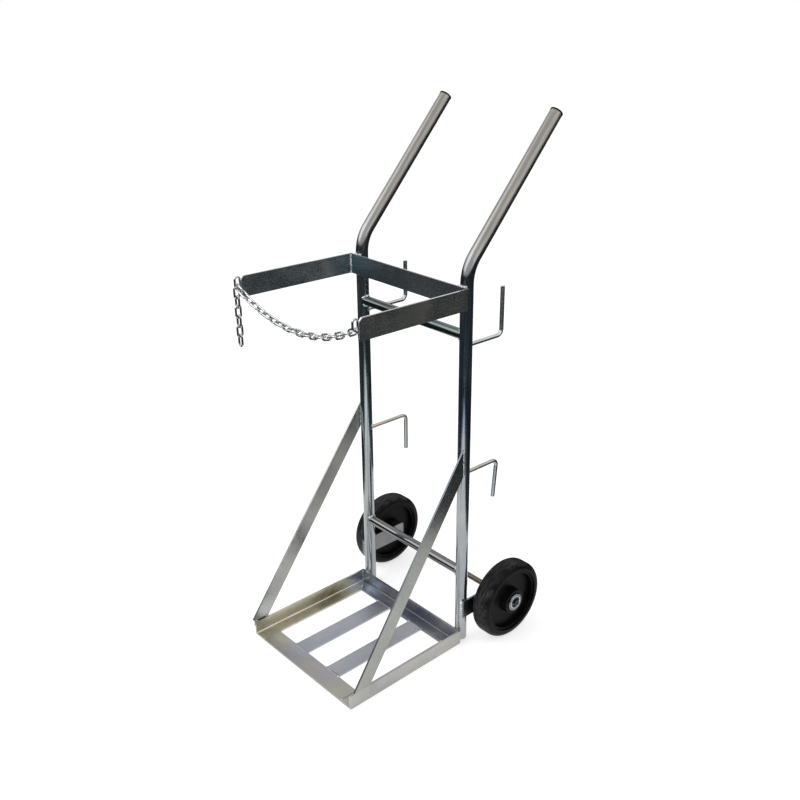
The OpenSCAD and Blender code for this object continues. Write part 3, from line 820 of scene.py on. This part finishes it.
def brace_welds(side, name):
    """Beads up both edges of the brace's end on the upright, and at its foot on the angle."""
    low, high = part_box("brace_%s" % name)
    inner = min(abs(low.x), abs(high.x))
    outer = inner + PLATE
    end_low = high.z - BRACE_WIDTH / math.cos(brace_slope(name))
    edges = (
        ("brace_outside", outer - 0.5 * MM, high.y + 1.6 * MM, 1),
        ("brace_inside", inner + 0.2 * MM, high.y - 0.4 * MM, -1),
    )
    parts = []
    for kind, out, y, lean in edges:
        x = side * out
        end = straight((x, y, end_low + 1 * MM), (x, y, high.z - 1 * MM), (side * lean, -0.5, 0))
        parts.append(weld(kind, end, side + lean))
    parts.extend(standing_foot_welds() if side > 0 else lapped_foot_welds())
    return parts


def standing_foot_welds():
    """The right brace stands on the angle's edge, with a bead inside and one at the toe."""
    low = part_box("brace_right")[0]
    length = BRACE_WIDTH / math.sin(brace_slope("right"))
    z = top("base_right_angle") + 0.3 * MM
    within = straight((WALL, low.y + 1 * MM, z), (WALL, low.y + length, z), (-1, 0, 0.5))
    toe_y = low.y - 1 * MM
    toe = straight((TUBE_HIGH - 3 * MM, toe_y, z), (TUBE_HIGH - 1 * MM, toe_y, z), (0, -1, 1))
    return [weld("standing_foot", within), weld("standing_toe", toe)]


def lapped_foot_welds():
    """The left brace lies against the angle: beads round its square end, a drip and two tacks."""
    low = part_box("brace_left")[0]
    angle_low, angle_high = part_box("base_left_angle")
    back, leaves = lapped_foot()
    front_z = low.z + BRACE_WIDTH * math.cos(brace_slope("left"))
    x = -(TUBE_HIGH + 1.2 * MM)
    under = straight((x, low.y + 3 * MM, front_z - 3 * MM), (x, back, low.z), (-1, -0.5, -0.8))
    behind = straight((x, back, low.z), (x, leaves, angle_high.z), (-1, 0.8, -0.5))
    drip = straight((x, angle_low.y - 0.4 * MM, angle_high.z),
                    (x + 1.2 * MM, angle_low.y - 0.2 * MM, angle_high.z - 11 * MM), (-0.4, -1, 0))
    parts = [weld("lapped_under", under), weld("lapped_behind", behind), weld("drip", drip)]
    edge_x = -(TUBE_HIGH - 0.2 * MM)
    for kind, y in (("front_tack", angle_low.y + 2 * MM), ("back_tack", leaves - 7 * MM)):
        tack = straight((edge_x, y, angle_high.z), (edge_x, y + 5 * MM, angle_high.z), UP)
        parts.append(weld(kind, tack))
    return parts


def slat_welds(side, name):
    """A toe up each corner of the slat, with a lump on top except in front of the left slat."""
    low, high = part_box("base_slat_%s" % name)
    parts = []
    for y, shift in ((low.y, 0), (high.y, 2)):
        for x, way in ((low.x, -1), (high.x, 1)):
            toe = straight((x, y, 0.6 * MM), (x, y, PLATE), (way, 0, 0))
            parts.append(weld("slat_toe", toe, side + shift))
            if side > 0 or y > low.y:
                lump = straight((x, y - 2 * MM, PLATE), (x, y + 1 * MM, PLATE), UP)
                parts.append(weld("slat_lump", lump, side + shift))
    return parts


def tray_welds(side, name):
    """The mitre in the back corner, a spot at the front corner, the slats, and the foot of the upright."""
    leg = top("base_%s_angle" % name)
    x_in = opening_edge(side, name)
    x_wall = side * WALL
    y_wall = BACK_FACE - PLATE
    mitre = [
        (Vector((x_in, BACK_FACE - leg, PLATE)), Vector(UP)),
        (Vector((x_wall, y_wall, PLATE)), Vector((-side, -1, 1)).normalized()),
        (Vector((x_wall, y_wall, leg)), Vector((-side, -1, 0)).normalized()),
    ]
    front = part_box("base_front_bar")[0].y
    spot = straight((x_in, front + 1 * MM, PLATE), (x_in, front + 5 * MM, PLATE), UP)
    parts = [weld("mitre", mitre, side), weld("front_spot", spot, side)]
    parts.extend(slat_welds(side, name))
    y = BACK_FACE + 1.2 * MM
    for way in (-1, 1):
        x = side * TUBE_X + way * 7.5 * MM
        foot = straight((x, y, 7 * MM), (x, y, leg), (way, 0.5, 0))
        parts.append(weld("upright_foot", foot, side + way))
    return parts


def spatter(side, facing, low, high, drops, seed):
    """Drops of weld metal on an upright between two heights. facing is their direction in degrees from X."""
    parts = []
    for k in range(drops):
        wander = noise.noise(Vector((seed + 3.7 * k, side, 0.5)))
        turn = math.radians(facing + 45 * wander)
        rise = k + 0.5 + 0.4 * noise.noise(Vector((0.3, seed + 2.1 * k, side)))
        z = low + (high - low) * rise / drops
        out = Vector((math.cos(turn), math.sin(turn), 0))
        place = Vector((side * TUBE_X, TUBE_Y, z)) + out * TUBE_R
        size = (0.7 + 0.5 * abs(wander)) * MM
        path = [(place, out), (place + Vector((0, 0, 2 * size)), out)]
        parts.append(bead(path, size, 0.8 * size, seed + k))
    return parts


def upright_spatter(side):
    """Spatter inside the upright below the hoop, and in front of it above the tray."""
    inward = 180 if side > 0 else 0
    forward = -62 if side > 0 else -118
    hoop_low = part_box("hoop_back_bar")[0].z
    parts = spatter(side, inward, top("upper_cross_tube"), hoop_low, drops=9, seed=131)
    return parts + spatter(side, forward, 20 * MM, 75 * MM, drops=11, seed=151)


def frame_welds():
    parts = []
    for side, name in SIDES:
        parts.extend(cross_tube_welds(side))
        parts.extend(hook_welds(side, name))
        parts.extend(hoop_welds(side, name))
        parts.extend(bracket_welds(side, name))
        parts.extend(brace_welds(side, name))
        parts.extend(tray_welds(side, name))
        parts.extend(upright_spatter(side))
    return merge(parts)


mesh_piece("frame_welds", frame_welds(), weld_metal)


# Seams that were dressed flat after welding, in the tray's own metal.


def dressed_seams():
    parts = []
    front_low, front_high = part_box("base_front_bar")
    for side, name in SIDES:
        x = opening_edge(side, name)
        seam = straight((x, front_low.y + 5 * MM, PLATE), (x, front_high.y - 0.5 * MM, PLATE), UP)
        parts.append(weld("front_seam", seam, side))
        low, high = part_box("base_slat_%s" % name)
        for y, shift in ((low.y, 0), (high.y, 2)):
            seam = straight((low.x + 1 * MM, y, PLATE), (high.x - 1 * MM, y, PLATE), UP)
            parts.append(weld("slat_seam", seam, side + shift))
    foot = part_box("brace_right")[0].y
    z = top("base_right_angle")
    seam = straight((TUBE_HIGH, foot + 2 * MM, z), (TUBE_HIGH, foot + BRACE_WIDTH, z), (1, 0, 0))
    parts.append(weld("brace_seam", seam))
    return merge(parts)


mesh_piece("dressed_seams", dressed_seams(), steel_tray_right)


# Hollow rounds in the corners of the tray's openings, where the weld was dressed.

FRONT_ROUND = 4.2 * MM
BACK_ROUND = 3 * MM
SLAT_BACK_ROUND = 2.5 * MM
ROUND_STEPS = 7


def corner_round(x, y, x_way, y_way, radius):
    """Fills a square corner at (x, y), open towards x_way and y_way, almost as thick as the bars."""
    sunk = 0.4 * MM
    rim = [(x - x_way * sunk, y - y_way * sunk)]
    rim.append((x + x_way * radius, y - y_way * sunk))
    for k in range(ROUND_STEPS + 1):
        turn = math.pi / 2 * k / ROUND_STEPS
        rim.append((x + x_way * radius * (1 - math.sin(turn)), y + y_way * radius * (1 - math.cos(turn))))
    rim.append((x - x_way * sunk, y + y_way * radius))
    if x_way * y_way < 0:
        rim.reverse()
    count = len(rim)
    points = [Vector((px, py, z)) for z in (0.3 * MM, PLATE - 0.05 * MM) for px, py in rim]
    return points, ring_faces(2, count) + end_faces(2, count)


def corner_rounds():
    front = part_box("base_front_bar")[1].y
    parts = []
    for side, name in SIDES:
        back = BACK_FACE - top("base_%s_angle" % name)
        x_in = opening_edge(side, name)
        parts.append(corner_round(x_in, front, -side, 1, FRONT_ROUND))
        parts.append(corner_round(x_in, back, -side, -1, BACK_ROUND))
        low_x, high_x = span("base_slat_%s" % name, X)
        for x, x_way in ((low_x, -1), (high_x, 1)):
            parts.append(corner_round(x, front, x_way, 1, FRONT_ROUND))
            parts.append(corner_round(x, back, x_way, -1, SLAT_BACK_ROUND))
    return merge(parts)


mesh_piece("corner_rounds", corner_rounds(), steel_tray_front, smooth=False)


# Dark lines of painted shade, where gaps and steps between the parts fall in shadow.


def dark_lines():
    """Lines along the left brace's foot, by the front bar's right end and in front of the right slat."""
    x = -(TUBE_HIGH - 0.6 * MM)
    z = top("base_left_angle")
    leaves = lapped_foot()[1]
    foot = straight((x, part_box("brace_left")[0].y + 6 * MM, z), (x, leaves - 2 * MM, z), UP)
    front_low, front_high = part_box("base_front_bar")
    x = opening_edge(1, "right")
    seam = straight((x, front_low.y + 0.6 * MM, PLATE), (x, front_high.y - 9 * MM, PLATE), UP)
    slat_low, slat_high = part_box("base_slat_right")
    y = slat_low.y + 1.2 * MM
    toe = straight((SLAT_RIGHT_X - 4 * MM, y, PLATE), (slat_high.x - 0.5 * MM, y, PLATE), UP)
    return merge([weld("brace_line", foot), weld("front_line", seam), weld("slat_line", toe)])


mesh_piece("dark_lines", dark_lines(), gap_shade)


# Lips of the handle plugs, drawn over the ends of the handles' tubes.

LIP_LAP = 1.8 * MM
LIP_STEPS = 56


def plug_lip(side, name):
    plug = nodes["handle_plug_%s" % name]
    along = Vector((0, math.sin(HANDLE_LEAN), math.cos(HANDLE_LEAN)))
    across = Vector((0, math.cos(HANDLE_LEAN), -math.sin(HANDLE_LEAN)))
    corners = [plug.matrix_world @ vertex.co for vertex in plug.data.vertices]
    seat = max(corner.dot(along) for corner in corners) - PLUG_DOME - PLUG_RIM
    offsets = [corner.dot(across) for corner in corners]
    axis = (min(offsets) + max(offsets)) / 2
    profile = (
        (-0.4 * MM, -LIP_LAP),
        (0.2 * MM, -LIP_LAP),
        (0.4 * MM, 0.4 * MM - LIP_LAP),
        (0.4 * MM, 0.7 * PLUG_RIM),
        (0.1 * MM, PLUG_RIM),
        (-0.4 * MM, PLUG_RIM + 0.2 * MM),
    )
    points = []
    for turn in turns(LIP_STEPS)[:-1]:
        for out, up in profile:
            radius = TUBE_R + out
            place = along * (seat + up) + across * (axis + radius * math.sin(turn))
            points.append(Vector((side * TUBE_X + radius * math.cos(turn), 0, 0)) + place)
    return points, turned_over(ring_faces(LIP_STEPS, len(profile), closed=True))


for side, name in SIDES:
    mesh_piece("plug_lip_%s" % name, plug_lip(side, name), plug_plastic)


# The round root inside the tray's rolled angles.

ROOT_RADIUS = 3.2 * MM
ROOT_STEPS = 8
ROOT_SUNK = 0.1 * MM


def root_fillets(stretches):
    """A concave strip in each stretch of the angles' inside corners, mitred where it turns.

    A stretch joins two stations: 0 and 3 are the left and right front ends, 1 and 2 the back corners.
    """
    profile = [(-ROOT_SUNK, -ROOT_SUNK)]
    for k in range(ROOT_STEPS + 1):
        turn = math.pi / 2 * k / ROOT_STEPS
        profile.append((ROOT_RADIUS * (1 - math.cos(turn)), ROOT_RADIUS * (1 - math.sin(turn))))
    front_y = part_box("base_left_angle")[0].y
    back_y = BACK_FACE - PLATE
    count = len(profile)
    parts = []
    for stretch in stretches:
        points = []
        for station in stretch:
            side = -1 if station < 2 else 1
            for d, h in profile:
                y = back_y - d if station in (1, 2) else front_y
                points.append(Vector((side * (WALL - d), y, PLATE + h)))
        parts.append((points, ring_faces(2, count) + end_faces(2, count)))
    return merge(parts)


ROOTS = (
    ("left_root", ((0, 1),), steel_root),
    ("back_roots", ((1, 2), (2, 3)), steel_back_root),
)
for name, stretches, material in ROOTS:
    roots = mesh_piece(name, root_fillets(stretches), material)
    roots.data.set_sharp_from_angle(angle=math.radians(40))


# The outer washers: a thin black coat in their sunk middle and on the axle's end, a light ring round the
# dish's rim that paints a highlight, and a dark ring that paints a groove's shade.

COAT_STEPS = 72
COAT_RINGS = 10
CAP_STEPS = 40
CAP_RINGS = 5
WASHER_STEPS = 64
CAP_R = AXLE_R - 0.5 * MM
LIP_R = WASHER_DISH_R + 0.2 * MM
GROOVE_R = WASHER_DISH_R + 1.9 * MM


def centre_of(node):
    """The place of a node's axis, along Y and Z."""
    return middle(node, Y), middle(node, Z)


def around(centre, x, radius, turn):
    return Vector((x, centre[0] + radius * math.cos(turn), centre[1] + radius * math.sin(turn)))


def black_coat_ring(side, washer):
    """A thin uneven coat from the axle out to the washer's rim."""
    centre = centre_of(washer)
    low_x, high_x = span(washer, X)
    floor_x = (low_x if side > 0 else high_x) + side * (WASHER_THICK - WASHER_DISH)
    width = WASHER_DISH_R - AXLE_R - 0.5 * MM
    points = []
    for ring in range(COAT_RINGS):
        radius = AXLE_R + 0.3 * MM + ring * width / (COAT_RINGS - 1)
        for turn in turns(COAT_STEPS)[:-1]:
            place = around(centre, floor_x, radius, turn)
            swell = 0.12 + 0.5 * max(0.0, noise.noise(place * 420) + 0.35)
            if ring in (0, COAT_RINGS - 1):
                swell = 0.05
            points.append(place + Vector((side * swell * MM, 0, 0)))
    faces = ring_faces(COAT_RINGS, COAT_STEPS)
    if side < 0:
        faces = [tuple(reversed(face)) for face in faces]
    return points, faces


def black_coat_cap(side):
    """A thin black coat over the axle's end."""
    centre = centre_of("axle")
    end_x = span("axle", X)[1 if side > 0 else 0]
    points = [around(centre, end_x + side * 0.3 * MM, 0, 0)]
    for ring in range(1, CAP_RINGS + 1):
        for turn in turns(CAP_STEPS)[:-1]:
            place = around(centre, end_x, CAP_R * ring / CAP_RINGS, turn)
            swell = 0.06 if ring == CAP_RINGS else 0.2 + 0.25 * noise.noise(place * 600)
            points.append(place + Vector((side * swell * MM, 0, 0)))
    faces = [(0, 1 + k, 1 + (k + 1) % CAP_STEPS) for k in range(CAP_STEPS)]
    for face in turned_over(ring_faces(CAP_RINGS, CAP_STEPS)):
        faces.append(tuple(1 + k for k in face))
    if side < 0:
        faces = [tuple(reversed(face)) for face in faces]
    return points, faces


def washer_ring(kind, side, washer, radius):
    """A bead round the outer face of a washer."""
    centre = centre_of(washer)
    face_x = span(washer, X)[1 if side > 0 else 0]
    outward = Vector((side, 0, 0))
    path = [(around(centre, face_x, radius, turn), outward) for turn in turns(WASHER_STEPS)]
    return weld(kind, path, closed=True)


for side, name in SIDES:
    washer = "washer_outer_%s" % name
    coats = merge([black_coat_ring(side, washer), black_coat_cap(side)])
    lip = washer_ring("washer_lip", side, washer, LIP_R)
    groove = washer_ring("washer_groove", side, washer, GROOVE_R)
    mesh_piece("grease_%s" % name, coats, black_coat)
    mesh_piece("washer_lip_%s" % name, lip, rim_highlight_zinc)
    mesh_piece("washer_groove_%s" % name, groove, gap_shade)


# Floor, light and camera.

FLOOR_REACH = 12.0
FLOOR_DROP = 0.2 * MM
FLOOR_TINT = (0.82, 0.82, 0.82)
FLOOR_GLOW = 0.62
SHEET_MIDDLE = (0.22, -0.22, 0)
SHEET_REACH = (1.0, 0.58)
BOARD_REACH = (3.4, 3.4)
BOARD_HEIGHT = 1.1
BOARD_LIFT = 4 * MM
BOARD_STEPS = 96
FLAG_TINTS = [(0.38, (0.02, 0.03, 0.036)), (0.55, (0.075, 0.09, 0.098)), (0.72, (0.22, 0.22, 0.2))]
WHITE = (1, 1, 1)
WORLD_LIGHT = 0.5
WORLD_SEEN = 1.0


def stage_piece(name, points, faces, material):
    mesh = bpy.data.meshes.new(name)
    mesh.from_pydata(points, [], faces)
    mesh.materials.append(material)
    piece = bpy.data.objects.new(name, mesh)
    bpy.context.scene.collection.objects.link(piece)
    return piece


def seen_directly(tree):
    """1 where the camera, a mirror or glass looks at it, and 0 where it only gives light."""
    path = add(tree, "ShaderNodeLightPath")
    seen = maths(tree, "MAXIMUM", path.outputs["Is Camera Ray"], path.outputs["Is Glossy Ray"])
    return maths(tree, "MAXIMUM", seen, path.outputs["Is Transmission Ray"])


def floor():
    """A pale floor that holds the shadow, and glows where it is seen so that it runs into the white."""
    material, tree, pick = new_material("floor_paint", "ShaderNodeMixShader")
    diffuse = add(tree, "ShaderNodeBsdfDiffuse")
    put(tree, FLOOR_TINT, diffuse.inputs["Color"])
    glow = add(tree, "ShaderNodeEmission")
    glow.inputs["Strength"].default_value = FLOOR_GLOW
    both = add(tree, "ShaderNodeAddShader")
    tree.links.new(diffuse.outputs[0], both.inputs[0])
    tree.links.new(glow.outputs[0], both.inputs[1])
    mix_shader(tree, pick, seen_directly(tree), diffuse, both)
    corners = ((-1, -1), (1, -1), (1, 1), (-1, 1))
    points = [(x * FLOOR_REACH, y * FLOOR_REACH, -FLOOR_DROP) for x, y in corners]
    stage_piece("floor", points, [(0, 1, 2, 3)], material)


def flags():
    """Dark boards, lying and standing round the trolley's pale sheet, which only the metal reflects."""
    centre = Vector(SHEET_MIDDLE)
    along = Vector((1, -1, 0)).normalized()
    across = Vector((1, 1, 0)).normalized()
    rings = ((SHEET_REACH, BOARD_LIFT), (BOARD_REACH, BOARD_LIFT), (BOARD_REACH, BOARD_HEIGHT))
    points = []
    for (long_reach, short_reach), height in rings:
        for turn in turns(BOARD_STEPS)[:-1]:
            place = centre + along * (long_reach * math.cos(turn)) + across * (short_reach * math.sin(turn))
            points.append((place.x, place.y, height))
    material, tree, diffuse = new_material("flag_cloth", "ShaderNodeBsdfDiffuse")
    folds = noise_value(tree, coordinates(tree), 1.6, 2.0, 0.5)
    put(tree, ramp(tree, folds, FLAG_TINTS), diffuse.inputs["Color"])
    board = stage_piece("flags", points, ring_faces(len(rings), BOARD_STEPS), material)
    board.visible_camera = False
    board.visible_diffuse = False
    board.visible_shadow = False


def lamp(name, place, aim, size, watts):
    data = bpy.data.lights.new(name, "AREA")
    data.shape = "SQUARE"
    data.size = size
    data.energy = watts
    light = bpy.data.objects.new(name, data)
    light.location = place
    light.rotation_mode = "QUATERNION"
    light.rotation_quaternion = (Vector(aim) - Vector(place)).to_track_quat("-Z", "Y")
    bpy.context.scene.collection.objects.link(light)


def background(tree, strength):
    made = add(tree, "ShaderNodeBackground")
    put(tree, WHITE, made.inputs["Color"])
    made.inputs["Strength"].default_value = strength
    return made


def studio():
    """A soft white room that is seen whiter than it lights, and two large lamps."""
    world = bpy.data.worlds.new("studio")
    bpy.context.scene.world = world
    world.use_nodes = True
    tree = world.node_tree
    tree.nodes.clear()
    pick = add(tree, "ShaderNodeMixShader")
    mix_shader(tree, pick, seen_directly(tree), background(tree, WORLD_LIGHT), background(tree, WORLD_SEEN))
    output = add(tree, "ShaderNodeOutputWorld")
    tree.links.new(pick.outputs[0], output.inputs["Surface"])
    lamp("key", place=(-1.6, -2.6, 3.0), aim=(0, 0, 0.45), size=3.4, watts=60)
    lamp("side", place=(3.0, 0.4, 2.2), aim=(0, 0, 0.5), size=2.8, watts=12)


CAMERA_PLACE = (1.31071, -1.12905, 1.26670)
CAMERA_HEADING = math.radians(44.59)
CAMERA_PITCH = math.radians(-24.07)
CAMERA_ROLL = math.radians(1.20)
CAMERA_LENS = 42.29
CAMERA_SENSOR = 36
CAMERA_SHIFT = (-0.0864, 0.0148)


def camera():
    level = Vector((math.cos(CAMERA_HEADING), math.sin(CAMERA_HEADING), 0))
    forward = Vector((-math.sin(CAMERA_HEADING) * math.cos(CAMERA_PITCH),
                      math.cos(CAMERA_HEADING) * math.cos(CAMERA_PITCH),
                      math.sin(CAMERA_PITCH)))
    upward = level.cross(forward)
    right = level * math.cos(CAMERA_ROLL) + upward * math.sin(CAMERA_ROLL)
    head = upward * math.cos(CAMERA_ROLL) - level * math.sin(CAMERA_ROLL)
    data = bpy.data.cameras.new("camera")
    data.sensor_width = CAMERA_SENSOR
    data.lens = CAMERA_LENS
    data.shift_x, data.shift_y = CAMERA_SHIFT
    view = bpy.data.objects.new("camera", data)
    bpy.context.scene.collection.objects.link(view)
    turn = Matrix((right, head, -forward)).transposed().to_4x4()
    view.matrix_world = Matrix.Translation(CAMERA_PLACE) @ turn
    bpy.context.scene.camera = view


floor()
flags()
studio()
camera()
bpy.context.scene.view_settings.view_transform = "Standard"
